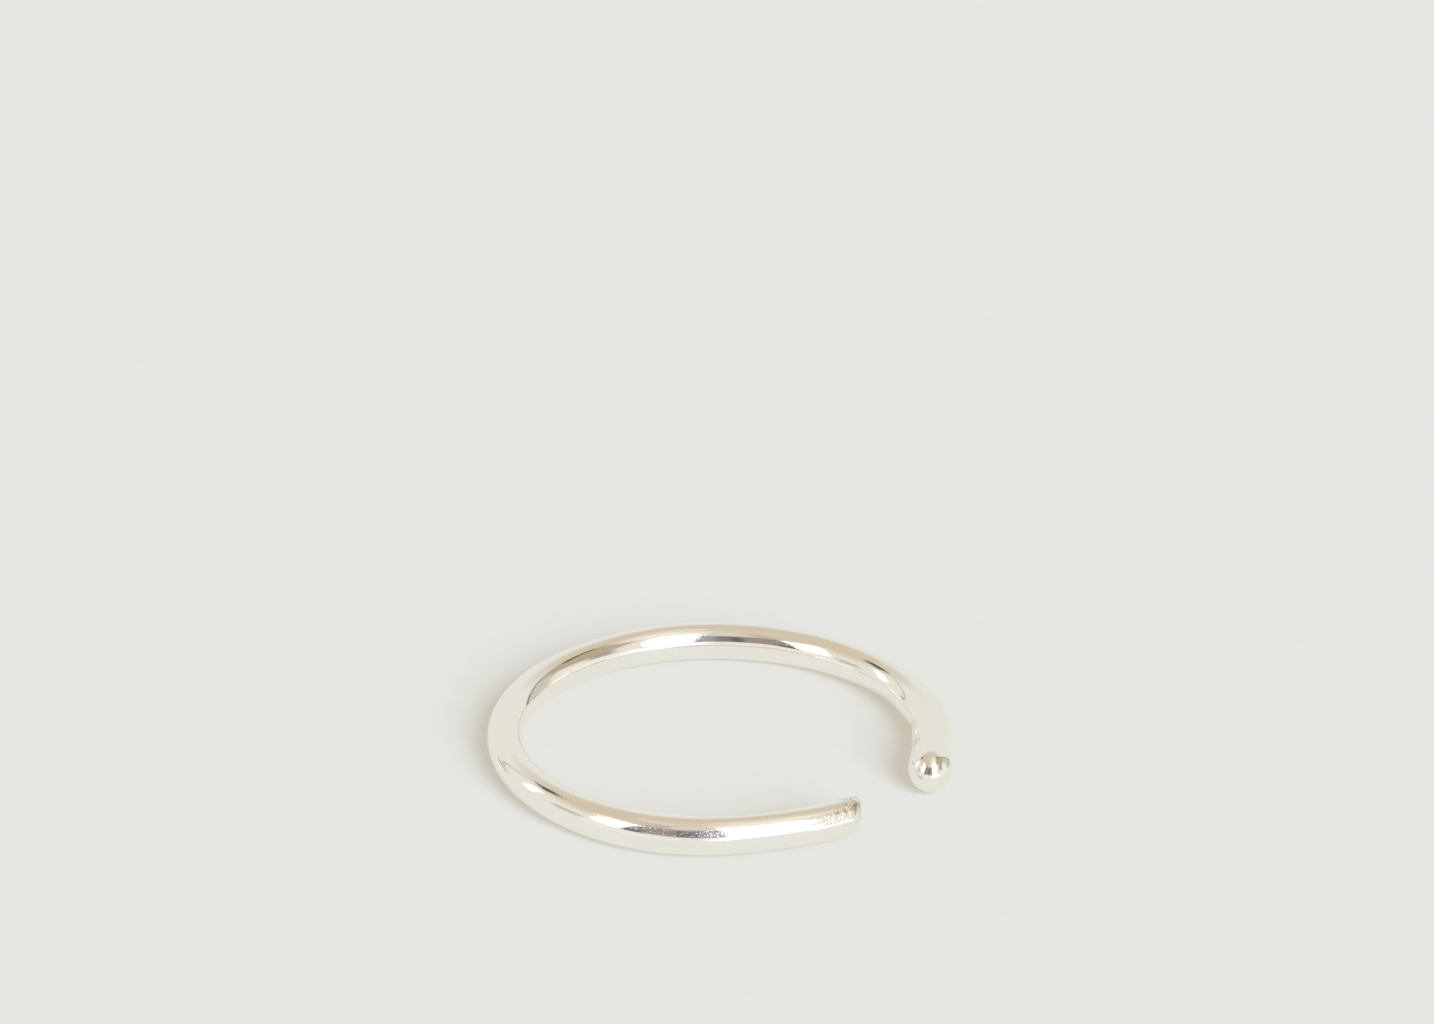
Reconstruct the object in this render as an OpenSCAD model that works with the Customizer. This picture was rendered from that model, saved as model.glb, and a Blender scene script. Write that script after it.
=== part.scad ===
// Open wire ring: one piece of round silver wire, bent almost into a circle.
// One end is swollen into a small ball, the other is cut off blunt and rounded.
// The ring lies on its side, resting on z = 0. The axis of its main circle meets z = 0 at the
// origin, and the gap between the two ends faces +X.

/* [Wire] */
// Inside diameter of the main circle, where the finger goes
finger_d = 17.3; // [15:0.1:21]
// Diameter of the round wire
wire_d = 1.63; // [1.4:0.01:1.9]

/* [Ball end] */
// Diameter of the ball, a little thicker than the wire
ball_d = 1.98; // [1.94:0.01:2.3]
// Length of the straight run from the last bend to the middle of the ball
ball_run = 2.65; // [2.5:0.05:4]
// Radius of the long hump that widens the wire towards the ball
hump_r = 10; // [5:0.5:10]
// Radius of the hollow where the wire starts to widen
hollow_r = 7; // [3:0.5:7]
// Polar angle at which the main circle turns into the ball end's bend
shoulder_at = 51; // [45:1:60]
// Radius of that bend, along the middle of the wire
shoulder_r = 7.6; // [6:0.1:9]
// Angle that the bend turns through
shoulder_turn = 20; // [10:1:25]

/* [Plain end] */
// Polar angle at which the main circle starts to bend inwards
bend_at = 276; // [260:1:280]
// Radius of the inward bend, along the middle of the wire
bend_r = 7.6; // [6:0.1:9]
// Angle that the inward bend turns through
bend_turn = 40; // [20:1:45]
// Radius of the nearly straight stretch before the tip
tip_r = 16; // [12:0.5:30]
// Angle that this stretch turns through
tip_turn = 19.5; // [8:0.5:20]
// Radius that rounds the edge of the blunt tip
tip_round = 0.5; // [0.2:0.05:0.6]

/* [Hidden] */
$fn = 96;

wire_r = wire_d / 2;
ball_r = ball_d / 2;
ring_r = (finger_d + wire_d) / 2;

// Bending draws the wire out: every stretch is thinner by this much, on its radius, than the one
// before it, and starts this far inside it
thinning = 0.005;
lap_turn = 0.5;
lap_run = 0.06;
bend_wire_r = wire_r - thinning;
end_wire_r = bend_wire_r - thinning;
tip_face_r = end_wire_r - thinning;

// Direction of a polar angle, as a point on the unit circle
function compass(a) = [cos(a), sin(a), 0];

// Middles of the arcs that the wire's centre line follows, each tangent to the one before
shoulder_mid = (ring_r - shoulder_r) * compass(shoulder_at);
bend_mid = (ring_r - bend_r) * compass(bend_at);
tip_at = bend_at + bend_turn;
tip_mid = bend_mid + (bend_r - tip_r) * compass(tip_at);
tip_end = tip_at + tip_turn;

// The neck is where the shoulder stops and the straight run to the ball begins
neck_at = shoulder_at - shoulder_turn;
neck = shoulder_mid + shoulder_r * compass(neck_at);
ball = neck - ball_run * compass(neck_at + 90);
ball_at = atan2(ball.y, ball.x);

// The widening rises by the difference of the radii, first along the hollow, then over the hump
widen_rise = ball_r - end_wire_r;
widen_run = sqrt(pow(hump_r + hollow_r, 2) - pow(hump_r + hollow_r - widen_rise, 2));
widen_from = ball_run - widen_run;
crest_from = ball_run - widen_run * hump_r / (hump_r + hollow_r);
crest_w = ball_r - hump_r + sqrt(pow(hump_r, 2) - pow(ball_run - crest_from, 2));

// The ball is thicker than the wire, so the ring rests on the ball and on the wire across from it
rest_tilt = asin((ball_r - wire_r) / (ring_r + norm(ball)));
rest_z = (wire_r + ring_r * sin(rest_tilt)) / cos(rest_tilt);

// Round wire of radius r along an arc in the ring's plane
module wire_arc(mid, arc_r, r, from, turn) {
    translate(mid)
        rotate([0, 0, from])
            rotate_extrude(angle = turn)
                translate([arc_r, 0]) circle(r = r);
}

// Half section of the ball end: x is the distance from its axis, y runs from the neck to the ball
module ball_end_section() {
    translate([0, -lap_run]) square([end_wire_r, lap_run + ball_run]);
    difference() {
        translate([0, widen_from]) square([crest_w, crest_from - widen_from]);
        translate([end_wire_r + hollow_r, widen_from]) circle(r = hollow_r, $fn = 360);
    }
    intersection() {
        translate([0, crest_from]) square([ball_r, ball_run - crest_from]);
        translate([ball_r - hump_r, ball_run]) circle(r = hump_r, $fn = 360);
    }
    intersection() {
        translate([0, ball_run]) circle(r = ball_r);
        translate([0, ball_run]) square(ball_r);
    }
}

// Half section of the blunt tip: x is the distance from its axis, y runs towards the end
module tip_section() {
    translate([0, -lap_run]) square([tip_face_r, lap_run]);
    square([tip_face_r - tip_round, tip_round]);
    intersection() {
        translate([tip_face_r - tip_round, 0]) circle(r = tip_round);
        translate([tip_face_r - tip_round, 0]) square(tip_round);
    }
}

module wire_ring() {
    color([0.93, 0.92, 0.89])
        rotate(a = -rest_tilt, v = compass(ball_at + 90))
            translate([0, 0, rest_z]) {
                wire_arc([0, 0, 0], ring_r, wire_r, shoulder_at, bend_at - shoulder_at);
                wire_arc(shoulder_mid, shoulder_r, bend_wire_r, neck_at, shoulder_turn + lap_turn);
                wire_arc(bend_mid, bend_r, bend_wire_r, bend_at - lap_turn, bend_turn + lap_turn);
                wire_arc(tip_mid, tip_r, end_wire_r, tip_at - lap_turn, tip_turn + lap_turn);
                translate(neck)
                    rotate([90, 0, neck_at])
                        rotate_extrude() ball_end_section();
                translate(tip_mid + tip_r * compass(tip_end))
                    rotate([-90, 0, tip_end])
                        rotate_extrude() tip_section();
            }
}

wire_ring();
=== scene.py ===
# %% [markdown]
# # An open ring of polished silver wire
#
# The ring is one piece of round wire, bent almost into a circle. One end swells into a small
# ball, the other is cut off blunt. It lies on its side on a pale floor.
#
# The solid from the CAD step is the fixed frame of this lesson. Everything here is in metres
# and in the same place as that solid. The wire's own measures are easier to read in
# millimetres, so they are multiplied by MM on their way into Blender.

import bpy
import numpy as np
from mathutils import Matrix, Vector


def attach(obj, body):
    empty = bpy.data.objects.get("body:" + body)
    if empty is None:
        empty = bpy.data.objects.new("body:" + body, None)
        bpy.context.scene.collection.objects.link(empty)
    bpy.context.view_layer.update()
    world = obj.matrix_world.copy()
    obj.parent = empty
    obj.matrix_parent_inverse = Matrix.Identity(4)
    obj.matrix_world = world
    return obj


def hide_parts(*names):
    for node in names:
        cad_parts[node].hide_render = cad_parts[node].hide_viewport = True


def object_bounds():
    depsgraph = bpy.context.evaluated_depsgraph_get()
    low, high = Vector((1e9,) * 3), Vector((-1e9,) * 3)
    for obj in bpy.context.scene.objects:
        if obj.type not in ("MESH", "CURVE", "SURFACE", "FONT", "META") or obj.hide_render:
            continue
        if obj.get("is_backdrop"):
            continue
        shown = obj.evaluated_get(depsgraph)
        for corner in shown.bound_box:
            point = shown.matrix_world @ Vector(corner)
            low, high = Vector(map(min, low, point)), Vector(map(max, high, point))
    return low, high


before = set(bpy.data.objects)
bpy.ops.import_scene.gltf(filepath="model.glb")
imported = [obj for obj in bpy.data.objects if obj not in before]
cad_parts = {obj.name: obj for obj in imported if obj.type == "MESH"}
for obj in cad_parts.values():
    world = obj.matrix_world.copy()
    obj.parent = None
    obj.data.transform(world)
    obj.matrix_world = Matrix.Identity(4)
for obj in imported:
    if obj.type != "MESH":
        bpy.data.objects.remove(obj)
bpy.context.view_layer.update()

MM = 0.001
print("nodes:", sorted(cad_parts))

# %% [markdown]
# ## The wire's centre line
#
# A silversmith bends straight wire around a mandrel, so the natural way to describe the ring
# is by how strongly the wire turns at each point of its length. From the ball end on there is
# a straight run, a short bend, the long main circle, a tighter inward bend and a last stretch
# that is almost straight.
#
# A Bezier curve would need its handles placed by eye. Here the turning is written down
# directly and added up along the wire, and each change of turning is spread over a short
# length. A mirror finish shows every sudden change of curvature as a break in its
# reflections, and metal bent over a mandrel has none.

# %% Measures of the wire
RING_R = 9.465          # middle line of the main circle
WIRE_R = 0.815
NECK_R = 0.805          # the wire is a hair thinner where it has been bent
BALL_R = 0.99
BALL_TALL_R = 0.965     # half the ball's height, a hair less than half its width
BALL_LONG_R = 1.33      # half its length: its nose is egg shaped
BALL_BACK = 0.18        # the egg's widest place lies this far behind the solid's

BALL_RUN = 2.65         # straight, from the middle of the ball to the first bend
SHOULDER_AT = 51.0      # polar angles on the main circle, in degrees
SHOULDER_R, SHOULDER_TURN = 7.6, 20.0
BEND_AT = 276.0
BEND_R, BEND_TURN = 7.6, 40.0
TIP_R, TIP_TURN = 16.0, 19.5
TIP_ROUND = 0.5         # radius of the filed edge at the tip
TIP_LONGER = 0.08       # how much longer the last stretch is than the solid's


def arc_length(radius, degrees):
    """Length of an arc: its radius times the angle it turns through."""
    return radius * np.radians(degrees)


STRETCHES = [(BALL_RUN, 0.0),
             (arc_length(SHOULDER_R, SHOULDER_TURN), 1 / SHOULDER_R),
             (arc_length(RING_R, BEND_AT - SHOULDER_AT), 1 / RING_R),
             (arc_length(BEND_R, BEND_TURN), 1 / BEND_R),
             (arc_length(TIP_R, TIP_TURN) + TIP_LONGER, 1 / TIP_R)]
JOINTS = np.cumsum([length for length, _ in STRETCHES])
WIRE_LENGTH = JOINTS[-1] + TIP_ROUND
print("wire from the ball's middle to the tip:", round(float(WIRE_LENGTH), 2), "mm")

# %% Turning, added up into a line
EASE = 1.6              # mm over which one turning radius changes into the next
FINE_STEP = 0.01


def smooth_step(t):
    """0 below 0, 1 above 1, and three t squared less two t cubed in between."""
    t = np.clip(t, 0.0, 1.0)
    return t * t * (3 - 2 * t)


def running_sum(values, step):
    """Trapezium rule: each value is the area under the curve from its start up to there."""
    return np.concatenate([[0.0], np.cumsum((values[1:] + values[:-1]) / 2) * step])


NOSE_AT = BALL_BACK - BALL_LONG_R
fine_s = np.arange(NOSE_AT, WIRE_LENGTH + FINE_STEP, FINE_STEP)
turning = np.full_like(fine_s, STRETCHES[0][1])
for at, (_, before), (_, after) in zip(JOINTS, STRETCHES, STRETCHES[1:]):
    turning += (after - before) * smooth_step((fine_s - at) / EASE + 0.5)

heading = running_sum(turning, FINE_STEP)
fine_x = running_sum(np.cos(heading), FINE_STEP)
fine_y = running_sum(np.sin(heading), FINE_STEP)

# %% [markdown]
# The line so far starts at the origin and heads along X. It is turned and moved so that the
# middle of its main circle lies where the solid has it.

# %% Put the line in its place
main_mid = (JOINTS[1] + JOINTS[2]) / 2
main_polar = np.radians((SHOULDER_AT + BEND_AT) / 2)
turn = main_polar + np.pi / 2 - np.interp(main_mid, fine_s, heading)
heading = heading + turn
fine_x, fine_y = (np.cos(turn) * fine_x - np.sin(turn) * fine_y,
                  np.sin(turn) * fine_x + np.cos(turn) * fine_y)
fine_x += RING_R * np.cos(main_polar) - np.interp(main_mid, fine_s, fine_x)
fine_y += RING_R * np.sin(main_polar) - np.interp(main_mid, fine_s, fine_y)
ball_x, ball_y = np.interp(0.0, fine_s, fine_x), np.interp(0.0, fine_s, fine_y)
print("middle of the ball:", round(float(ball_x), 3), round(float(ball_y), 3))

# %% [markdown]
# ## The wire's thickness
#
# The ball is not stuck on: its metal was melted back into the wire's end, so the wire widens
# slowly towards it. The widening is a long hollow arc that flows into a long hump, and the
# end itself is half an egg, because molten silver still hangs on to the wire as it sets. At
# the other end the wire is cut off, its edge is rounded by filing, and the face is left very
# slightly domed.

# %% Radius along the wire
HUMP_R, HOLLOW_R = 10.0, 7.0
TIP_DOME = 0.04
BALL_GAIN = BALL_R - NECK_R
WIDEN_RUN = np.sqrt((HUMP_R + HOLLOW_R) ** 2 - (HUMP_R + HOLLOW_R - BALL_GAIN) ** 2)
CREST_RUN = WIDEN_RUN * HUMP_R / (HUMP_R + HOLLOW_R)
FULL_AFTER, THIN_BEFORE = 3.0, 4.0      # mm in which the wire gains and loses its full size


def body_radius(s):
    """Radius between the ball's widest place and the tip's edge. Near the ball it is the
    height of a circle of radius HUMP_R, then of a hollow of radius HOLLOW_R; further on the
    wire's own radius eases from its bent size to its full size and back."""
    past = s - BALL_BACK
    hump = BALL_R - HUMP_R + np.sqrt(np.maximum(HUMP_R ** 2 - past ** 2, 0))
    back = WIDEN_RUN - past
    hollow = NECK_R + HOLLOW_R - np.sqrt(np.maximum(HOLLOW_R ** 2 - back ** 2, 0))
    full = smooth_step((s - JOINTS[0]) / FULL_AFTER) * smooth_step((JOINTS[3] - s) / THIN_BEFORE)
    plain = NECK_R + (WIRE_R - NECK_R) * full
    return np.where(past < CREST_RUN, hump, np.where(past < WIDEN_RUN, hollow, plain))


BALL_ROWS, TIP_ROWS, FACE_ROWS = 40, 18, 12
BODY_STEP = 0.085
quarter = np.linspace(0, np.pi / 2, BALL_ROWS + 1)[1:]
body_s = np.linspace(BALL_BACK, JOINTS[-1], int(JOINTS[-1] / BODY_STEP))[1:]
edge = np.linspace(0, np.pi / 2, TIP_ROWS + 1)[1:]
face = np.linspace(1, 0, FACE_ROWS + 1)[1:-1]
flat_r = NECK_R - TIP_ROUND

row_s = np.concatenate([BALL_BACK - BALL_LONG_R * np.cos(quarter), body_s,
                        JOINTS[-1] + TIP_ROUND * np.sin(edge),
                        WIRE_LENGTH + TIP_DOME * (1 - face ** 2)])
row_r = np.concatenate([BALL_R * np.sin(quarter), body_radius(body_s),
                        flat_r + TIP_ROUND * np.cos(edge), flat_r * face])
rows = len(row_s)


def tall_radius(s, wide):
    """Half the wire's height: the same as half its width, except that towards the ball it
    gains a little less, and that the egg keeps one ratio of the two."""
    part = (BALL_TALL_R - NECK_R) / BALL_GAIN
    swollen_end = NECK_R + part * (wide - NECK_R)
    return np.where(s < BALL_BACK, wide * BALL_TALL_R / BALL_R,
                    np.where(s < BALL_BACK + WIDEN_RUN, swollen_end, wide))


row_tall = tall_radius(row_s, row_r)
print("rows along the wire:", rows)

# %% [markdown]
# ## The hand of the maker
#
# Wire that was bent, filed and polished by hand is never a perfect tube. Its surface swells
# and dips by two or three thousandths of a millimetre, which no caliper would find, but a
# polished surface shows it at once: the edges of the reflections waver. These swellings are
# real geometry, a sum of gentle waves that run along and around the wire.
#
# Single marks are added to the waves. Some are hollows, such as a worn flat and the nicks and
# grooves that pliers left at the tip. Others are fuller places, where the metal was squeezed
# together on the inner side of the neck and the shoulder, and on the crests and the ball.

# %% Waves and dents
WAVES = 26
WAVE_SLOPE = 0.0035     # usual slope of all waves together: how much the reflections waver
WAVE_LENGTHS = 1.6, 9.0     # shortest and longest, in mm
WAVE_TURNS = 4          # a wave goes fewer than this many times around the wire
WAVE_SHARES = 0.3, 1.0  # weakest and strongest, before they are evened out by WAVE_EVEN
WAVE_EVEN = np.sqrt(WAVES / 4)
rng = np.random.default_rng(7)


def swelling(s, around):
    """Sum of waves in mm: each is a cosine of a length along the wire plus a whole number of
    turns around it, as high as its slope times its length over two pi."""
    length = rng.uniform(*WAVE_LENGTHS, WAVES)
    turns = rng.integers(0, WAVE_TURNS, WAVES)
    phase = rng.uniform(0, 2 * np.pi, WAVES)
    share = rng.uniform(*WAVE_SHARES, WAVES) / WAVE_EVEN
    height = share * WAVE_SLOPE * length / (2 * np.pi)
    angle = 2 * np.pi * s[..., None] / length + turns * around[..., None] + phase
    return (height * np.cos(angle)).sum(-1)


# name: where along the wire in mm and around it in degrees, where 0 is the ring's outer side
# and 90 its top; then the depth, length and width in mm, with a minus for a fuller place
DENTS = {
    "worn_flat_front": (46.2, 34, 0.016, 2.4, 0.38),
    "full_side_at_shoulder": (5.8, 205, -0.15, 1.9, 0.6),
    "full_side_at_neck": (3.0, 183, -0.20, 1.5, 0.6),
    "full_top_of_ball": (-0.5, 90, -0.045, 0.4, 0.7),
    "full_crest_back": (17.7, 68, -0.045, 6.0, 0.55),
    "full_crest_front": (45.5, 112, -0.045, 6.0, 0.55),
    "groove_at_tip_1": (51.5, 21, 0.014, 0.35, 0.08),
    "groove_at_tip_2": (52.1, 28, 0.020, 0.40, 0.09),
    "groove_at_tip_3": (52.7, 36, 0.020, 0.40, 0.10),
    "tip_nick_1": (52.6, 50, 0.014, 0.11, 0.10),
    "tip_nick_2": (52.9, 57, 0.012, 0.10, 0.09),
    "tip_nick_3": (53.0, 44, 0.014, 0.10, 0.10),
    "tip_nick_4": (53.2, 82, 0.020, 0.12, 0.13),
    "tip_nick_5": (53.4, 66, 0.018, 0.10, 0.12),
    "nick_left_back": (26.2, 168, 0.016, 0.16, 0.14),
}


def dents(s, around):
    """Sum of bell shapes: the depth times e to the minus squared distances along and around,
    each over its size squared. A negative depth is a fullness."""
    total = np.zeros_like(s)
    for along, degrees, depth, length, width in DENTS.values():
        away = np.angle(np.exp(1j * (around - np.radians(degrees)))) * WIRE_R
        total -= depth * np.exp(-((s - along) / length) ** 2 - (away / width) ** 2)
    return total


# %% [markdown]
# ## The surface
#
# Sweeping a circle along the line could be done with a curve's bevel or with a modifier. A
# grid of numpy arrays is used because every point's place is then a formula: the centre line
# gives the middle, the angle around picks the direction, and the radius says how far to go.
# The first and the last row close in a single point, so the surface has no hole.

# %% Grid of points
COLUMNS = 104
FADE_GAIN, FADE_FROM = 1.4, 0.2         # the marks fade out where the two ends close
around = np.linspace(0, 2 * np.pi, COLUMNS, endpoint=False)
middle_x = np.interp(row_s, fine_s, fine_x)
middle_y = np.interp(row_s, fine_s, fine_y)
row_heading = np.interp(row_s, fine_s, heading)
outward = np.stack([np.sin(row_heading), -np.cos(row_heading), 0 * row_heading], -1)
onward = np.stack([np.cos(row_heading), np.sin(row_heading), 0 * row_heading], -1)
middle = np.stack([middle_x, middle_y, 0 * row_s], -1)

s_grid, around_grid = np.meshgrid(row_s, around, indexing="ij")
fade = smooth_step(row_r / WIRE_R * FADE_GAIN - FADE_FROM)[:, None]
swollen = fade * (swelling(s_grid, around_grid) + dents(s_grid, around_grid))
across = (row_r[:, None] + swollen) * np.cos(around_grid)
above = (row_tall[:, None] + swollen) * np.sin(around_grid)
up = np.array([0.0, 0.0, 1.0])
grid = middle[:, None] + across[..., None] * outward[:, None] + above[..., None] * up

# The cutters met the wire at a slant, so its outer, lower side is shorter.
SLANT = 0.45            # mm of length for each mm across
SLANT_LENGTH = 2.2      # mm over which the slant comes in
SLANT_SIDE = np.radians(-30)
slant = SLANT * smooth_step((row_s - WIRE_LENGTH + SLANT_LENGTH) / SLANT_LENGTH)
shift = -slant[:, None] * (across * np.cos(SLANT_SIDE) + above * np.sin(SLANT_SIDE))
grid = grid + shift[..., None] * onward[:, None]
print("swelling in thousandths of a mm:", round(1000 * float(swollen.min()), 1),
      "to", round(1000 * float(swollen.max()), 1))

# %% [markdown]
# The ball is a little taller than the wire, so the ring doesn't lie quite flat. It rests on
# the ball and on the wire across from it.

# %% Rest on the floor
ball_reach = np.hypot(ball_x, ball_y)
rest_tilt = np.arcsin((BALL_TALL_R - WIRE_R) / (RING_R + ball_reach))
rest_z = (WIRE_R + RING_R * np.sin(rest_tilt)) / np.cos(rest_tilt)
ball_side = Vector((ball_x / ball_reach, ball_y / ball_reach, 0.0))
tilt_axis = ball_side.cross(Vector((0, 0, 1)))
tilt = np.array(Matrix.Rotation(rest_tilt, 3, tilt_axis))


def rest(points):
    """Lifts points of the level ring by rest_z and tilts them about the origin, in metres."""
    return (points + np.array([0, 0, rest_z])) @ tilt.T * MM


first = middle[0] - (row_s[0] - NOSE_AT) * onward[0]
last = np.array([np.interp(WIRE_LENGTH + TIP_DOME, fine_s, line) for line in (fine_x, fine_y)]
                + [0.0])
points = np.concatenate([rest(grid.reshape(-1, 3)), rest(np.stack([first, last]))])
print("tilt in degrees:", round(float(np.degrees(rest_tilt)), 2))

# %% [markdown]
# Four neighbouring points of the grid make one face, with its corners in the order that turns
# its front outwards. The last column joins the first one again, and a fan of triangles closes
# each end. The enclosed volume tells whether all of it is right: it is positive only when the
# faces look outwards.

# %% Faces
row, column = np.meshgrid(np.arange(rows - 1), np.arange(COLUMNS), indexing="ij")
beside = (column + 1) % COLUMNS
quads = np.stack([row * COLUMNS + column, (row + 1) * COLUMNS + column,
                  (row + 1) * COLUMNS + beside, row * COLUMNS + beside], -1).reshape(-1, 4)
col = np.arange(COLUMNS)
last_row = (rows - 1) * COLUMNS
first_fan = np.stack([np.full(COLUMNS, rows * COLUMNS), col, (col + 1) % COLUMNS], -1)
last_fan = np.stack([np.full(COLUMNS, rows * COLUMNS + 1), last_row + (col + 1) % COLUMNS,
                     last_row + col], -1)


def build_mesh(name, points, face_lists):
    """Mesh from an array of points and arrays of corners, one array for each count of
    corners."""
    mesh = bpy.data.meshes.new(name)
    corners = np.concatenate([f.ravel() for f in face_lists]).astype(np.int32)
    counts = np.concatenate([np.full(len(f), f.shape[1]) for f in face_lists])
    starts = np.concatenate([[0], np.cumsum(counts)[:-1]]).astype(np.int32)
    mesh.vertices.add(len(points))
    mesh.vertices.foreach_set("co", points.astype(np.float32).ravel())
    mesh.loops.add(len(corners))
    mesh.loops.foreach_set("vertex_index", corners)
    mesh.polygons.add(len(counts))
    mesh.polygons.foreach_set("loop_start", starts)
    mesh.polygons.foreach_set("use_smooth", np.ones(len(counts), bool))
    mesh.update(calc_edges=True)
    mesh.validate()
    return mesh


wire_mesh = build_mesh("bent_wire", points, [quads, first_fan, last_fan])


def signed_volume(mesh):
    """Volume that the faces enclose, positive when they point outwards, and the number of
    triangles. It adds up a . (b x c) / 6 over the triangles with corners a, b and c."""
    mesh.calc_loop_triangles()
    co = np.empty(len(mesh.vertices) * 3, np.float32)
    mesh.vertices.foreach_get("co", co)
    tri = np.empty(len(mesh.loop_triangles) * 3, np.int32)
    mesh.loop_triangles.foreach_get("vertices", tri)
    a, b, c = co.reshape(-1, 3).astype(float)[tri.reshape(-1, 3)].transpose(1, 0, 2)
    return float((a * np.cross(b, c)).sum() / 6), len(tri) // 3


volume, triangles = signed_volume(wire_mesh)
print("volume in cubic mm:", round(volume * 1e9, 2), "triangles:", triangles)

# %% [markdown]
# The finish follows the wire: drawing and polishing leave lines that run along it. So each
# point keeps the place that it had while the wire was still straight, its length along the
# wire and its two distances across it, in millimetres. A pattern that reads this runs along
# the bent wire without a seam. A UV map with the same two directions is kept as well.

# %% Straight wire coordinates
straight = np.stack([s_grid, across, above], -1)
straight = np.concatenate([straight.reshape(-1, 3),
                           [[NOSE_AT, 0, 0], [WIRE_LENGTH + TIP_DOME, 0, 0]]])
attribute = wire_mesh.attributes.new("straight_wire", "FLOAT_VECTOR", "POINT")
attribute.data.foreach_set("vector", straight.astype(np.float32).ravel())

u_of_row = (row_s - NOSE_AT) / (WIRE_LENGTH + TIP_DOME - NOSE_AT)
quad_u = np.stack([u_of_row[row], u_of_row[row + 1], u_of_row[row + 1], u_of_row[row]], -1)
quad_v = np.stack([column, column, column + 1, column + 1], -1) / COLUMNS
fan_u = np.stack([np.zeros(COLUMNS), *[np.full(COLUMNS, u_of_row[0])] * 2], -1)
fan_v = np.stack([col + 0.5, col, col + 1], -1) / COLUMNS
end_u = np.stack([np.ones(COLUMNS), *[np.full(COLUMNS, u_of_row[-1])] * 2], -1)
end_v = np.stack([col + 0.5, col + 1, col], -1) / COLUMNS
uv = np.concatenate([np.stack([quad_u.ravel(), quad_v.ravel()], -1),
                     np.stack([fan_u.ravel(), fan_v.ravel()], -1),
                     np.stack([end_u.ravel(), end_v.ravel()], -1)])
uv_map = wire_mesh.uv_layers.new(name="along_wire")
uv_map.data.foreach_set("uv", uv.astype(np.float32).ravel())

bent_wire = bpy.data.objects.new("bent_wire", wire_mesh)
bpy.context.scene.collection.objects.link(bent_wire)
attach(bent_wire, "root")
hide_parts("wire_ring")

# %% [markdown]
# ## Polished silver
#
# Silver mirrors nearly all the light that falls on it, a little less of the blue, so its own
# colour is a pale, faintly warm white. Everything else in it is reflection. What tells the
# eye that it is metal and not a computed mirror is its wear: fine lines along the wire from
# drawing, short scratches that cross each other, tiny pits, and a breath of tarnish that
# makes it warmer in some places.
#
# Each of these is a node group, so that it has a name and its own few controls. The groups
# give out heights and masks, and the shader stays in the material.

# %% Helpers for node trees
def node(tree, kind, **values):
    """New node of that kind. Names that are its inputs set them, others set its properties."""
    new = tree.nodes.new(kind)
    for key, value in values.items():
        if key in new.inputs:
            new.inputs[key].default_value = value
        else:
            setattr(new, key, value)
    return new


def math(tree, operation, *terms):
    """Math node; each term is a number or an output to be linked. Gives back its output."""
    new = tree.nodes.new("ShaderNodeMath")
    new.operation = operation
    for socket, term in zip(new.inputs, terms):
        if isinstance(term, bpy.types.NodeSocket):
            tree.links.new(term, socket)
        else:
            socket.default_value = term
    return new.outputs[0]


def mapped(tree, value, low, high, to_low=0.0, to_high=1.0, smooth=True):
    """Map Range node, which turns low to high into to_low to to_high."""
    new = node(tree, "ShaderNodeMapRange",
               interpolation_type="SMOOTHSTEP" if smooth else "LINEAR")
    for socket, term in zip(new.inputs[:5], (value, low, high, to_low, to_high)):
        if isinstance(term, bpy.types.NodeSocket):
            tree.links.new(term, socket)
        else:
            socket.default_value = term
    return new.outputs[0]


def new_group(name, inputs, outputs):
    """Empty shader node group with named sockets: inputs and outputs are name, kind pairs."""
    group = bpy.data.node_groups.new(name, "ShaderNodeTree")
    for socket_name, kind, default in inputs:
        socket = group.interface.new_socket(socket_name, in_out="INPUT", socket_type=kind)
        if default is not None:
            socket.default_value = default
    for socket_name, kind in outputs:
        group.interface.new_socket(socket_name, in_out="OUTPUT", socket_type=kind)
    return group, group.nodes.new("NodeGroupInput"), group.nodes.new("NodeGroupOutput")


def use_group(tree, group, **values):
    """Places a group in a tree and sets its inputs, with _ in a name standing for a space."""
    new = tree.nodes.new("ShaderNodeGroup")
    new.node_tree = group
    for key, value in values.items():
        socket = new.inputs[key.replace("_", " ")]
        if isinstance(value, bpy.types.NodeSocket):
            tree.links.new(value, socket)
        else:
            socket.default_value = value
    return new


# %% [markdown]
# A scratch is a thin streak. Noise that is stretched in one direction turns into streaks, and
# keeping only the highest of them leaves a few, with soft ends. Drawing scratches one by one
# would give control over each, but a rubbed surface has thousands.

# %% Scratches
VECTOR, FLOAT = "NodeSocketVector", "NodeSocketFloat"
STREAK_AXIS = (0.3, 0.2, 1.0)   # a little askew, so that streaks aren't all level
STREAK_FLOOR = 0.72             # noise below this is no streak when the amount is nothing
STREAK_EDGE = 0.07


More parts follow.
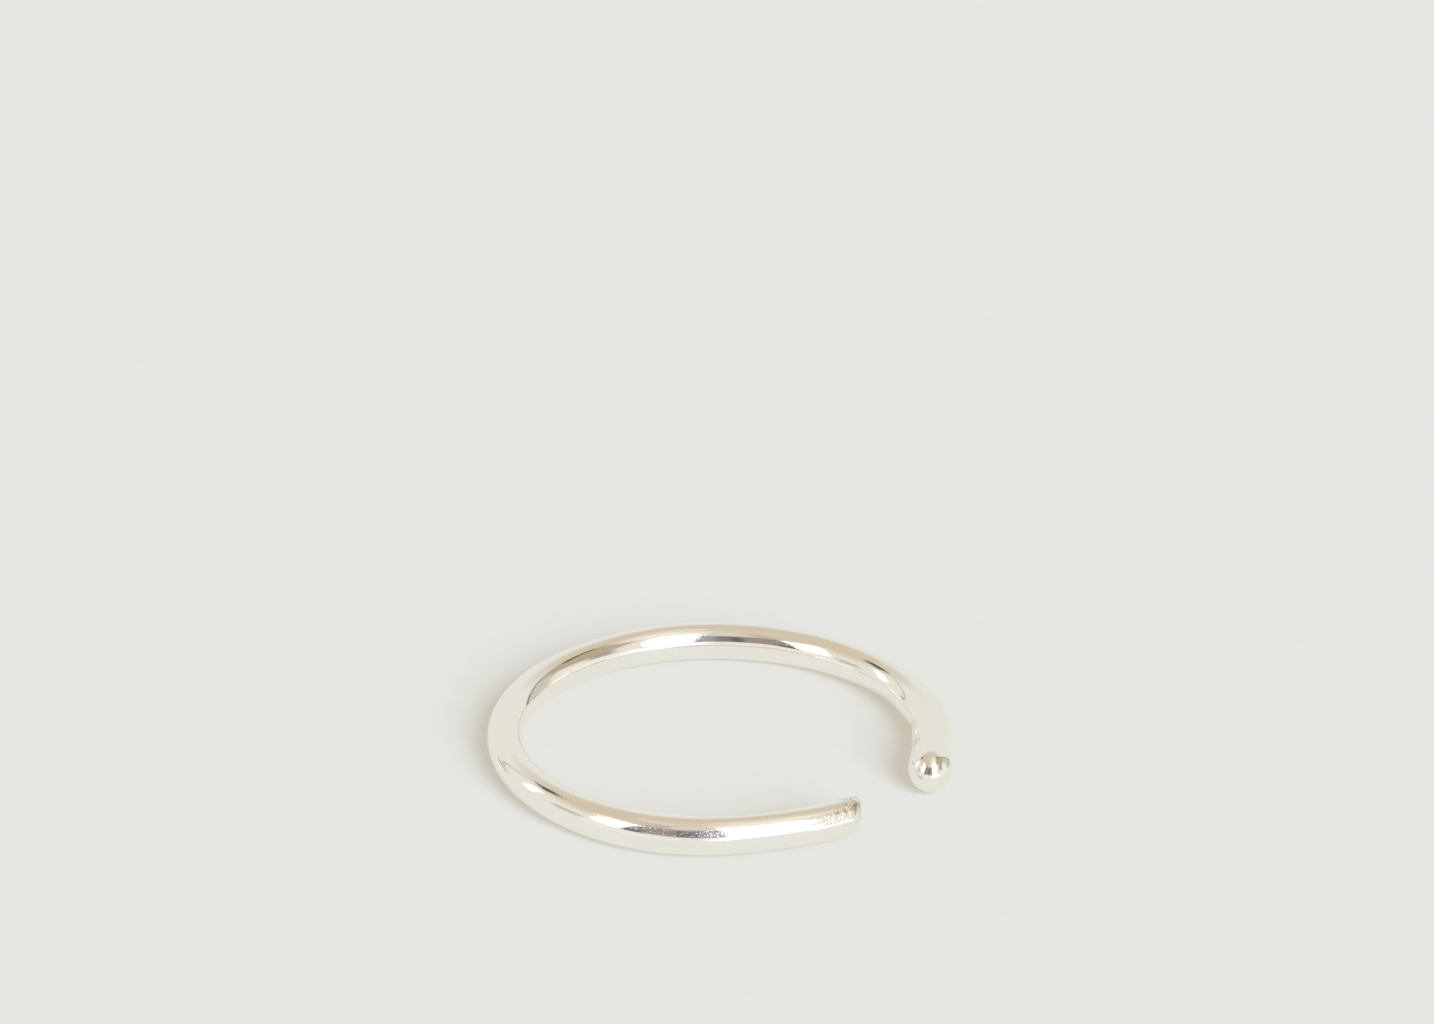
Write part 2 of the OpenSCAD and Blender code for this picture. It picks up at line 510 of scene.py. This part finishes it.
def make_scratches():
    """Noise that is stretched a long way in one direction, of which only the highest streaks
    are kept. Angle turns the streaks, Length and Fineness set their shape, and Amount their
    share."""
    group, into, out = new_group(
        "scratches",
        [("Vector", VECTOR, None), ("Angle", FLOAT, 0.0), ("Length", FLOAT, 2.0),
         ("Fineness", FLOAT, 12.0), ("Amount", FLOAT, 0.1)],
        [("Mask", FLOAT)])
    turned = node(group, "ShaderNodeVectorRotate", rotation_type="AXIS_ANGLE")
    turned.inputs["Axis"].default_value = STREAK_AXIS
    group.links.new(into.outputs["Vector"], turned.inputs["Vector"])
    group.links.new(into.outputs["Angle"], turned.inputs["Angle"])
    scale = node(group, "ShaderNodeCombineXYZ")
    group.links.new(math(group, "DIVIDE", 1.0, into.outputs["Length"]), scale.inputs["X"])
    group.links.new(into.outputs["Fineness"], scale.inputs["Y"])
    group.links.new(into.outputs["Fineness"], scale.inputs["Z"])
    stretched = node(group, "ShaderNodeVectorMath", operation="MULTIPLY")
    group.links.new(turned.outputs[0], stretched.inputs[0])
    group.links.new(scale.outputs[0], stretched.inputs[1])
    noise = node(group, "ShaderNodeTexNoise", Scale=1.0, Detail=1.0, Roughness=0.5)
    group.links.new(stretched.outputs[0], noise.inputs["Vector"])
    floor_of = math(group, "SUBTRACT", STREAK_FLOOR, into.outputs["Amount"])
    top_of = math(group, "ADD", floor_of, STREAK_EDGE)
    group.links.new(mapped(group, noise.outputs[0], floor_of, top_of), out.inputs["Mask"])
    return group


scratches = make_scratches()

# %% [markdown]
# Pits are round and come in patches, so they are the middles of Voronoi cells where a broad
# noise is high. Tarnish is a film that gathers in clouds of all sizes, which plain noise
# gives; two sizes are multiplied, so that large clouds have fine edges.

# %% Pits and tarnish
PIT_CORE = 0.02             # cells' share around the middle where a pit has its full depth
PATCH_SCALE, PATCH_EDGE = 0.45, 0.12
WIDE_CLOUD, FINE_CLOUD = (0.35, 0.7), (0.25, 0.75)      # noise that counts as none and as full
FINE_CLOUDS_SMALLER = 6.0


def make_pits():
    """Round specks: the nearness to the middle of each Voronoi cell, kept only where a broad
    noise is high, so that they come in patches."""
    group, into, out = new_group(
        "pits", [("Vector", VECTOR, None), ("Scale", FLOAT, 8.0), ("Size", FLOAT, 0.25),
                 ("Patches", FLOAT, 0.55)], [("Mask", FLOAT)])
    cells = node(group, "ShaderNodeTexVoronoi")
    group.links.new(into.outputs["Vector"], cells.inputs["Vector"])
    group.links.new(into.outputs["Scale"], cells.inputs["Scale"])
    speck = mapped(group, cells.outputs["Distance"], into.outputs["Size"], PIT_CORE)
    broad = node(group, "ShaderNodeTexNoise", Scale=PATCH_SCALE, Detail=2.0)
    group.links.new(into.outputs["Vector"], broad.inputs["Vector"])
    patch = mapped(group, broad.outputs[0], into.outputs["Patches"],
                   math(group, "ADD", into.outputs["Patches"], PATCH_EDGE))
    group.links.new(math(group, "MULTIPLY", speck, patch), out.inputs["Mask"])
    return group


def make_tarnish():
    """Soft clouds of two sizes multiplied together, for the thin film that silver gathers."""
    group, into, out = new_group("tarnish", [("Vector", VECTOR, None), ("Scale", FLOAT, 0.3)],
                                 [("Cloud", FLOAT)])
    wide = node(group, "ShaderNodeTexNoise", Detail=3.0, Roughness=0.6)
    fine = node(group, "ShaderNodeTexNoise", Detail=4.0, Roughness=0.7)
    for noise, factor in ((wide, 1.0), (fine, FINE_CLOUDS_SMALLER)):
        group.links.new(into.outputs["Vector"], noise.inputs["Vector"])
        group.links.new(math(group, "MULTIPLY", into.outputs["Scale"], factor),
                        noise.inputs["Scale"])
    both = math(group, "MULTIPLY", mapped(group, wide.outputs[0], *WIDE_CLOUD),
                mapped(group, fine.outputs[0], *FINE_CLOUD))
    group.links.new(both, out.inputs["Cloud"])
    return group


pits, tarnish = make_pits(), make_tarnish()

# %% [markdown]
# Some wear has a place of its own: the front and the tip are pitted, the ball is rubbed at
# its side, and one long scratch crosses the front. Each is a soft box in straight wire
# coordinates, with noise on its edge so that it doesn't look like a box. An image mask could
# hold such places too, but a box of a few numbers is easier to move.

# %% Worn patches
RAGGED_SCALE, RAGGED = 5.0, 0.8         # how fine the ragged edge is, and how ragged
PATCH_OUT, PATCH_IN = 1.5, 1.2          # how far out the patch ends, and where it is full


def make_patch():
    """Soft box around Middle that ends near Reach to each side, with a ragged edge. The
    largest of the three distances, each over its reach, says how far out a point lies, and
    noise is added to it."""
    group, into, out = new_group(
        "worn_patch", [("Vector", VECTOR, None), ("Middle", VECTOR, None),
                       ("Reach", VECTOR, (1.0, 1.0, 1.0))], [("Mask", FLOAT)])
    offset = node(group, "ShaderNodeVectorMath", operation="SUBTRACT")
    group.links.new(into.outputs["Vector"], offset.inputs[0])
    group.links.new(into.outputs["Middle"], offset.inputs[1])
    share = node(group, "ShaderNodeVectorMath", operation="DIVIDE")
    group.links.new(offset.outputs[0], share.inputs[0])
    group.links.new(into.outputs["Reach"], share.inputs[1])
    size = node(group, "ShaderNodeVectorMath", operation="ABSOLUTE")
    group.links.new(share.outputs[0], size.inputs[0])
    parts = node(group, "ShaderNodeSeparateXYZ")
    group.links.new(size.outputs[0], parts.inputs[0])
    largest = math(group, "MAXIMUM", parts.outputs[0],
                   math(group, "MAXIMUM", parts.outputs[1], parts.outputs[2]))
    ragged = node(group, "ShaderNodeTexNoise", Scale=RAGGED_SCALE, Detail=2.0)
    group.links.new(into.outputs["Vector"], ragged.inputs["Vector"])
    edge_at = math(group, "ADD", largest, math(group, "MULTIPLY", ragged.outputs[0], RAGGED))
    group.links.new(mapped(group, edge_at, PATCH_OUT, PATCH_IN), out.inputs["Mask"])
    return group


patch = make_patch()

# name: middle and reach in straight wire coordinates, in mm
WORN_PATCHES = {
    "pitted_front": ((46.6, 0.68, 0.45), (2.5, 0.16, 0.14)),
    "pitted_tip": ((53.0, 0.3, 0.5), (1.2, 0.6, 0.45)),
    "side_of_ball": ((-0.25, -0.8, 0.25), (0.5, 0.35, 0.3)),
    "left_back": ((26.0, -0.75, 0.1), (0.8, 0.3, 0.22)),
}

STAIN_MIDDLE, STAIN_REACH = (53.5, 0.0, 0.55), (0.75, 0.75, 0.5)

# one long, shallow scratch crosses the front at a slant; seen from the side it is a dull line
SCRATCH_MIDDLE, SCRATCH_REACH = (44.8, 0.4, 0.735), (0.85, 0.3, 0.036)
SCRATCH_SLANT = -0.03   # radians

# %% [markdown]
# The material adds the heights of the lines, scratches and pits into one Bump node, whose
# distance is a real depth in metres, about a thousandth of a millimetre. The same masks
# make the surface duller where they lie. Metallic is a plain number, because the whole wire
# is bare metal.

# %% The silver
CLEAN_SILVER = (0.995, 0.965, 0.905, 1.0)
FILMED_SILVER = (0.95, 0.895, 0.79, 1.0)
STAIN = (0.56, 0.53, 0.43, 1.0)
FILM_STRENGTH = 0.35
SMOOTHEST = 0.045       # roughness of the cleanest places
GRAIN_SCALE = 10.0
WORN_GRAIN, STAIN_GRAIN = (0.51, 0.66), (0.44, 0.72)    # grain that counts as none and as full
BUMP_DEPTH = 1.2e-6     # metres for a height of 1

# angle in radians, length and fineness of the streaks, and how many there are
DRAWN_LINES = (0.0, 9.0, 14.0, 0.2)
CROSSING = [(0.5, 0.9, 9.0, 0.05), (-0.8, 0.7, 11.0, 0.04), (1.4, 0.5, 8.0, 0.03)]

# what each kind of mark adds to the roughness and to the height
MARKS = {"film": (0.05, 0.0), "lines": (0.02, 0.12), "crossed": (0.06, -0.8),
         "pits": (0.12, -1.0), "worn": (0.03, -2.6), "long_scratch": (0.38, 0.0)}


def make_silver():
    """Principled shader for bare polished silver with lines, scratches, pits and a film."""
    material = bpy.data.materials.new("polished_silver")
    material.use_nodes = True
    tree = material.node_tree
    shader = tree.nodes["Principled BSDF"]
    shader.inputs["Metallic"].default_value = 1.0
    place = node(tree, "ShaderNodeAttribute", attribute_name="straight_wire").outputs["Vector"]

    def streaks(angle, length, fineness, amount):
        return use_group(tree, scratches, Vector=place, Angle=angle, Length=length,
                         Fineness=fineness, Amount=amount).outputs[0]

    masks = {"film": use_group(tree, tarnish, Vector=place, Scale=0.35).outputs[0],
             "lines": streaks(*DRAWN_LINES)}
    first, second, third = [streaks(*kind) for kind in CROSSING]
    masks["crossed"] = math(tree, "MAXIMUM", math(tree, "MAXIMUM", first, second), third)
    masks["pits"] = use_group(tree, pits, Vector=place, Scale=7.0, Size=0.3,
                              Patches=0.56).outputs[0]

    grain = node(tree, "ShaderNodeTexNoise", Scale=GRAIN_SCALE, Detail=2.0, Roughness=0.6)
    tree.links.new(place, grain.inputs["Vector"])
    grain = grain.outputs[0]
    worn = None
    for middle_of, reach in WORN_PATCHES.values():
        spot = use_group(tree, patch, Vector=place, Middle=middle_of, Reach=reach).outputs[0]
        worn = spot if worn is None else math(tree, "MAXIMUM", worn, spot)
    masks["worn"] = math(tree, "MULTIPLY", worn, mapped(tree, grain, *WORN_GRAIN))
    stained = use_group(tree, patch, Vector=place, Middle=STAIN_MIDDLE,
                        Reach=STAIN_REACH).outputs[0]
    stained = math(tree, "MULTIPLY", stained, mapped(tree, grain, *STAIN_GRAIN))
    slanted = node(tree, "ShaderNodeVectorRotate", rotation_type="Y_AXIS",
                   Center=SCRATCH_MIDDLE, Angle=SCRATCH_SLANT)
    tree.links.new(place, slanted.inputs["Vector"])
    masks["long_scratch"] = use_group(tree, patch, Vector=slanted.outputs[0],
                                      Middle=SCRATCH_MIDDLE, Reach=SCRATCH_REACH).outputs[0]

    filmed = node(tree, "ShaderNodeMixRGB")
    filmed.inputs[1].default_value, filmed.inputs[2].default_value = CLEAN_SILVER, FILMED_SILVER
    tree.links.new(math(tree, "MULTIPLY", masks["film"], FILM_STRENGTH), filmed.inputs[0])
    colour = node(tree, "ShaderNodeMixRGB")
    tree.links.new(stained, colour.inputs[0])
    tree.links.new(filmed.outputs[0], colour.inputs[1])
    colour.inputs[2].default_value = STAIN
    tree.links.new(colour.outputs[0], shader.inputs["Base Color"])

    dull, height = SMOOTHEST, 0.0
    for name, (duller, higher) in MARKS.items():
        dull = math(tree, "MULTIPLY_ADD", masks[name], duller, dull)
        if higher:
            height = math(tree, "MULTIPLY_ADD", masks[name], higher, height)
    tree.links.new(dull, shader.inputs["Roughness"])
    bump = node(tree, "ShaderNodeBump", Strength=1.0, Distance=BUMP_DEPTH)
    tree.links.new(height, bump.inputs["Height"])
    tree.links.new(bump.outputs[0], shader.inputs["Normal"])
    return material


polished_silver = make_silver()
wire_mesh.materials.append(polished_silver)
print("marks in the silver:", list(MARKS))

# The new piece stands for the solid in the picture. The solid gets the same finish.
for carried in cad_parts.values():
    carried.data.materials.clear()
    carried.data.materials.append(polished_silver)

# %% [markdown]
# ## Floor
#
# The floor is a plain pale sheet. It isn't part of the ring, so it is marked as stage. It is
# a sheet of opal plastic that is lit from below as well as from above, as photographers do
# to keep shadows faint, so a part of its brightness is its own. It is wide, because the
# ring's lower half mirrors it as far as the horizon, and it has a faint sheen that passes
# some of the lamps' light on to the ring from below.

# %% Opal sheet
FLOOR_HALF = 3.0        # metres
BODY_TONES = (0.049, 0.058, 0.077, 1), (0.053, 0.062, 0.082, 1)
GLOW_TONES = (0.985, 0.908, 0.735, 1), (1.0, 0.922, 0.749, 1)
GLOW = 0.55
SHEEN, SHEEN_ROUGHNESS = (0.02, 0.02, 0.02, 1), 0.4
corner = FLOOR_HALF * np.array([[-1, -1, 0], [1, -1, 0], [1, 1, 0], [-1, 1, 0]], float)
card_mesh = build_mesh("card", corner, [np.array([[0, 1, 2, 3]])])
card = bpy.data.objects.new("card", card_mesh)
bpy.context.scene.collection.objects.link(card)

opal = bpy.data.materials.new("opal_sheet")
opal.use_nodes = True
tree = opal.node_tree
tree.nodes.clear()
place = node(tree, "ShaderNodeTexCoord").outputs["Object"]
grain = node(tree, "ShaderNodeTexNoise", Scale=900.0, Detail=3.0)
tree.links.new(place, grain.inputs["Vector"])


def grained(low, high):
    """Colour that wanders between two tones with the grain."""
    tone = node(tree, "ShaderNodeValToRGB")
    tone.color_ramp.elements[0].color, tone.color_ramp.elements[1].color = low, high
    tree.links.new(grain.outputs[0], tone.inputs[0])
    return tone.outputs[0]


body = node(tree, "ShaderNodeBsdfDiffuse")
tree.links.new(grained(*BODY_TONES), body.inputs["Color"])
glow = node(tree, "ShaderNodeEmission", Strength=GLOW)
tree.links.new(grained(*GLOW_TONES), glow.inputs["Color"])
sheen = node(tree, "ShaderNodeBsdfGlossy", Color=SHEEN, Roughness=SHEEN_ROUGHNESS)
both = node(tree, "ShaderNodeAddShader")
tree.links.new(body.outputs[0], both.inputs[0])
tree.links.new(glow.outputs[0], both.inputs[1])
all_three = node(tree, "ShaderNodeAddShader")
tree.links.new(both.outputs[0], all_three.inputs[0])
tree.links.new(sheen.outputs[0], all_three.inputs[1])
tree.links.new(all_three.outputs[0], node(tree, "ShaderNodeOutputMaterial").inputs["Surface"])
card_mesh.materials.append(opal)
card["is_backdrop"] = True

# %% [markdown]
# ## Studio light
#
# A polished ring shows its surroundings more than itself, so the studio is worked out with
# care: two large white soft lamps beside the camera, a small one far to the left, a pale
# surround up to four tenths of the way to the top, a warm ceiling above it, and the dark
# shape of the camera between the lamps. Glows near the horizon, and thin dark uprights,
# beams and a skirting at both sides, give the metal its crisp lines.
#
# Lamps could be area lights and cards, but these would stand in the way of a camera on the
# other side. The surroundings are painted in the world shader instead, as soft panels in
# turn and elevation. Turn is measured from the camera's side, positive to its right.

# %% Panels in the surroundings
CAMERA_AZIMUTH = 36.0   # degrees, where 0 looks along +Y and 90 along -X


def make_panel():
    """Soft four sided mask. Its sides are turns that may lean with the elevation, its top and
    bottom are elevations, and Soft is the half width of its edge, all in degrees."""
    group, into, out = new_group(
        "panel", [("Turn", FLOAT, 0.0), ("Elevation", FLOAT, 0.0), ("Left", FLOAT, -10.0),
                  ("Right", FLOAT, 10.0), ("Low", FLOAT, 0.0), ("High", FLOAT, 30.0),
                  ("Left lean", FLOAT, 0.0), ("Right lean", FLOAT, 0.0), ("Soft", FLOAT, 3.0)],
        [("Mask", FLOAT)])
    turned, raised, soft = (into.outputs[n] for n in ("Turn", "Elevation", "Soft"))

    def leaning(edge, lean):
        return math(group, "ADD", into.outputs[edge],
                    math(group, "MULTIPLY", raised, into.outputs[lean]))

    def rising(value, edge):
        return mapped(group, value, math(group, "SUBTRACT", edge, soft),
                      math(group, "ADD", edge, soft))

    def falling(value, edge):
        return mapped(group, value, math(group, "ADD", edge, soft),
                      math(group, "SUBTRACT", edge, soft))

    sides = math(group, "MULTIPLY", rising(turned, leaning("Left", "Left lean")),
                 falling(turned, leaning("Right", "Right lean")))
    ends = math(group, "MULTIPLY", rising(raised, into.outputs["Low"]),
                falling(raised, into.outputs["High"]))
    group.links.new(math(group, "MULTIPLY", sides, ends), out.inputs["Mask"])
    return group


panel = make_panel()

# left and right at the horizon, low, high, left and right lean, soft, colour, brightness
WHITE = (0.97, 0.99, 1.02)
PANELS = {
    "low_light_left": (-70, -4, -20, 15, 0, 0, 9, (0.85, 0.84, 0.79), 1.0),
    "low_light_right": (48, 104, -20, 20, 0, 0, 9, (0.87, 0.87, 0.81), 1.0),
    "low_glow_right": (8, 56, -20, 26, 0, 0, 8, (0.98, 0.99, 1.00), 1.12),
    "tan_ceiling_right": (112, 168, 66, 84, 0, 0, 8, (0.77, 0.72, 0.63), 1.0),
    "cream_ceiling_right": (12, 122, 64, 83, 0, 0, 7, (0.88, 0.86, 0.80), 1.0),
    "grey_low_far_right": (113, 136, -4, 34, 0, 0, 3, (0.60, 0.58, 0.50), 1.0),
    "brown_wall_right": (74, 131, 31, 61, 0, 0, 3, (0.48, 0.40, 0.30), 1.0),
    "dark_corner_right": (60, 84, 22, 38, 0, 0, 3, (0.38, 0.35, 0.35), 1.0),
    "pale_beside_lamp": (36, 62, 20, 64, 0, 0.2, 6, (0.78, 0.77, 0.73), 1.0),
    "dark_upright_right": (135.5, 138.5, 1, 46, -0.12, -0.12, 1.2, (0.24, 0.22, 0.18), 1.0),
    "dark_beam_right": (122, 138.5, 46, 57, 0, -0.12, 1.2, (0.12, 0.10, 0.07), 1.0),
    "faint_upright_left": (-128, -125.5, 10, 40, 0, 0, 1.2, (0.52, 0.50, 0.46), 1.0),
    "dark_foot_left": (-126.5, -122.5, 5.5, 9.5, 0, 0, 0.8, (0.36, 0.35, 0.31), 1.0),
    "dark_beam_left": (-134, -117, 41.5, 50, 0, 0, 1.5, (0.14, 0.12, 0.10), 1.0),
    "dark_skirting_right": (116, 139, -1, 2.2, 0, 0, 1, (0.20, 0.18, 0.14), 1.0),
    "dark_skirting_left": (-130, -118, -1, 2.2, 0, 0, 1, (0.24, 0.22, 0.18), 1.0),
    "grey_patch_left": (-86, -70, 12, 25, 0, 0, 3, (0.55, 0.55, 0.51), 1.0),
    "glow_above_left_lamp": (-86, -58, 48, 60, 0, 0, 5, (0.88, 0.82, 0.68), 1.0),
    "brown_above_camera": (-50, -24, 54, 74, 0, 0, 6, (0.54, 0.50, 0.43), 1.0),
    "grey_above_camera": (-26, 18, 54, 80, 0, 0, 7, (0.68, 0.66, 0.57), 1.0),
    "dark_camera": (-45, 19, 21, 56, 0, 0, 4, (0.33, 0.28, 0.25), 1.0),
    "blue_lens_side": (3, 17, 24, 55, 0, 0, 3, (0.33, 0.35, 0.43), 1.0),
    "navy_lens": (-5, 3, 23, 54, 0, 0, 3, (0.22, 0.21, 0.28), 1.0),
    "black_lens": (-13, -5, 23, 51, 0, 0, 3, (0.15, 0.12, 0.14), 1.0),
    "dark_by_camera": (-45, -30, 22, 50, 0, 0, 4, (0.29, 0.27, 0.24), 1.0),
    "black_corner_left": (-45, -33, 20, 31, 0, 0, 3, (0.16, 0.12, 0.11), 1.0),
    "lamp_right": (17, 31, 23, 66, 0, 0.5, 3, WHITE, 2.0),
    "lamp_left": (-57, -46, 22, 55, -0.33, 0.02, 3, WHITE, 1.8),
    "small_lamp_left": (-104, -98, 12, 34, -0.2, -0.2, 4, WHITE, 1.6),
}

# %% [markdown]
# Behind the panels lies a plain surround, a ramp of tones from the horizon up. The panels are
# mixed over it one by one, so that later ones in the list lie in front of earlier ones.

# %% World shader
PALE = (0.785, 0.785, 0.745, 1.0)
# how far up, from 0 at the horizon to 1 at the top, and the tone there
SURROUND = [(0.00, PALE), (0.40, PALE), (0.46, (0.70, 0.69, 0.63, 1)),
            (0.54, (0.66, 0.60, 0.49, 1)), (0.61, (0.66, 0.56, 0.44, 1)),
            (0.78, (0.65, 0.56, 0.45, 1)), (0.90, (0.67, 0.60, 0.48, 1))]
FAR_SIDE_LOWER = 6.0    # degrees

world = bpy.data.worlds.new("studio")
bpy.context.scene.world = world
world.use_nodes = True
world.cycles.sampling_method = "NONE"   # saves time: the surroundings are soft and even
tree = world.node_tree
tree.nodes.clear()
ray = node(tree, "ShaderNodeTexCoord").outputs["Generated"]
facing = node(tree, "ShaderNodeVectorRotate", rotation_type="Z_AXIS",
              Angle=-np.radians(CAMERA_AZIMUTH))
tree.links.new(ray, facing.inputs["Vector"])
axes = node(tree, "ShaderNodeSeparateXYZ")
tree.links.new(facing.outputs[0], axes.inputs[0])
turn_angle = math(tree, "DEGREES", math(tree, "ARCTAN2", axes.outputs["X"],
                                        math(tree, "MULTIPLY", axes.outputs["Y"], -1.0)))
elevation = math(tree, "DEGREES", math(tree, "ARCSINE", axes.outputs["Z"]))

ramp = node(tree, "ShaderNodeValToRGB")
stops = ramp.color_ramp.elements
stops.remove(stops[1])
stops[0].position, stops[0].color = SURROUND[0]
for position, tone in SURROUND[1:]:
    stops.new(position).color = tone

# The far wall is lower than the others, so the warm tones above it begin nearer the horizon.
far_side = math(tree, "MAXIMUM", axes.outputs["Y"], 0.0)
raised = math(tree, "MULTIPLY_ADD", far_side, FAR_SIDE_LOWER, elevation)
tree.links.new(math(tree, "DIVIDE", raised, 90.0), ramp.inputs[0])
seen = ramp.outputs[0]

for name, (left, right, low, high, lean_l, lean_r, soft, tone, bright) in PANELS.items():
    mask = use_group(tree, panel, Turn=turn_angle, Elevation=elevation, Left=left, Right=right,
                     Low=low, High=high, Left_lean=lean_l, Right_lean=lean_r, Soft=soft)
    mask.label = name
    mix = node(tree, "ShaderNodeMixRGB")
    tree.links.new(mask.outputs[0], mix.inputs[0])
    tree.links.new(seen, mix.inputs[1])
    mix.inputs[2].default_value = (*[bright * c for c in tone], 1.0)
    seen = mix.outputs[0]
print("panels:", len(PANELS))

# %% [markdown]
# A camera that looks past the floor would see these panels as a cluttered backdrop. Rays
# that come straight from the camera get the plain pale tone instead.

# %% Plain backdrop for the camera
path_of_light = node(tree, "ShaderNodeLightPath")
plain = node(tree, "ShaderNodeMixRGB")
plain.inputs[2].default_value = PALE
tree.links.new(path_of_light.outputs["Is Camera Ray"], plain.inputs[0])
tree.links.new(seen, plain.inputs[1])
background = node(tree, "ShaderNodeBackground", Strength=1.0)
tree.links.new(plain.outputs[0], background.inputs["Color"])
tree.links.new(background.outputs[0], node(tree, "ShaderNodeOutputWorld").inputs["Surface"])

# %% [markdown]
# The ring's soft shadow falls behind it and to the left, so most of the direct light comes
# from the camera's side, a little to the right and rather low. A sun lamp whose disc is very
# wide gives such a shadow with one object. It is hidden from reflections, where the panels
# already stand for the lamps.

# %% Light from the window
WINDOW_TURN, WINDOW_ELEVATION, WINDOW_WIDTH = np.radians([30, 28, 35])
WINDOW_STRENGTH, WINDOW_COLOUR = 26.5, (0.94, 1.0, 0.93)
window_light = bpy.data.lights.new("window", "SUN")
window_light.angle = WINDOW_WIDTH
window_light.energy = WINDOW_STRENGTH
window_light.color = WINDOW_COLOUR
window = bpy.data.objects.new("window", window_light)
bpy.context.scene.collection.objects.link(window)
window.visible_glossy = False
compass_turn = np.radians(CAMERA_AZIMUTH) + WINDOW_TURN
towards = Vector((np.sin(compass_turn) * np.cos(WINDOW_ELEVATION),
                  -np.cos(compass_turn) * np.cos(WINDOW_ELEVATION), np.sin(WINDOW_ELEVATION)))
window.matrix_world = towards.to_track_quat("Z", "Y").to_matrix().to_4x4()

# %% [markdown]
# ## Camera
#
# The camera looks down at the ring from 27 and a half degrees, through a long lens from 23
# centimetres away. The ring lies low in the picture, so the camera is aimed above it. It
# leans by just over a degree.

# %% Camera at the photograph's angle
PICTURE = (1434, 1024)
ELEVATION = 27.5                  # degrees above the floor
DISTANCE = 227.16 * MM
FOCAL = 5160.4                    # in pixels of the picture
RING_AT = (720.8, 736.5)          # where the middle of the ring falls in the picture
ROLL = 0.0237                     # radians

azimuth, height_angle = np.radians(CAMERA_AZIMUTH), np.radians(ELEVATION)
back = np.array([np.sin(azimuth) * np.cos(height_angle),
                 -np.cos(azimuth) * np.cos(height_angle), np.sin(height_angle)])
level_right = np.array([np.cos(azimuth), np.sin(azimuth), 0.0])
level_up = np.cross(back, level_right)
right = np.cos(ROLL) * level_right + np.sin(ROLL) * level_up
upward = np.cos(ROLL) * level_up - np.sin(ROLL) * level_right
aim = (-back + upward * (RING_AT[1] - PICTURE[1] / 2) / FOCAL
       - right * (RING_AT[0] - PICTURE[0] / 2) / FOCAL)
aim = aim / np.linalg.norm(aim)
side = right - aim * (right @ aim)
side = side / np.linalg.norm(side)

lens = bpy.data.cameras.new("camera")
lens.sensor_width = 36.0
lens.lens = FOCAL / PICTURE[0] * lens.sensor_width
lens.clip_start, lens.clip_end = 0.005, 20.0
camera = bpy.data.objects.new("camera", lens)
bpy.context.scene.collection.objects.link(camera)
turned_to = Matrix(np.stack([side, np.cross(side, aim), -aim], -1).tolist()).to_4x4()
stands_at = Vector(back * DISTANCE + np.array([0, 0, rest_z * MM]))
camera.matrix_world = Matrix.Translation(stands_at) @ turned_to
bpy.context.scene.camera = camera
print("lens in mm:", round(lens.lens, 1))

# %% [markdown]
# The picture is shown with the Standard view, so a tone in the scene comes out as itself.

# %% View and sizes
bpy.context.scene.view_settings.view_transform = "Standard"
bpy.context.scene.view_settings.look = "None"

low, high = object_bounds()
print("visual size in mm:", [round(1000 * (b - a), 2) for a, b in zip(low, high)])
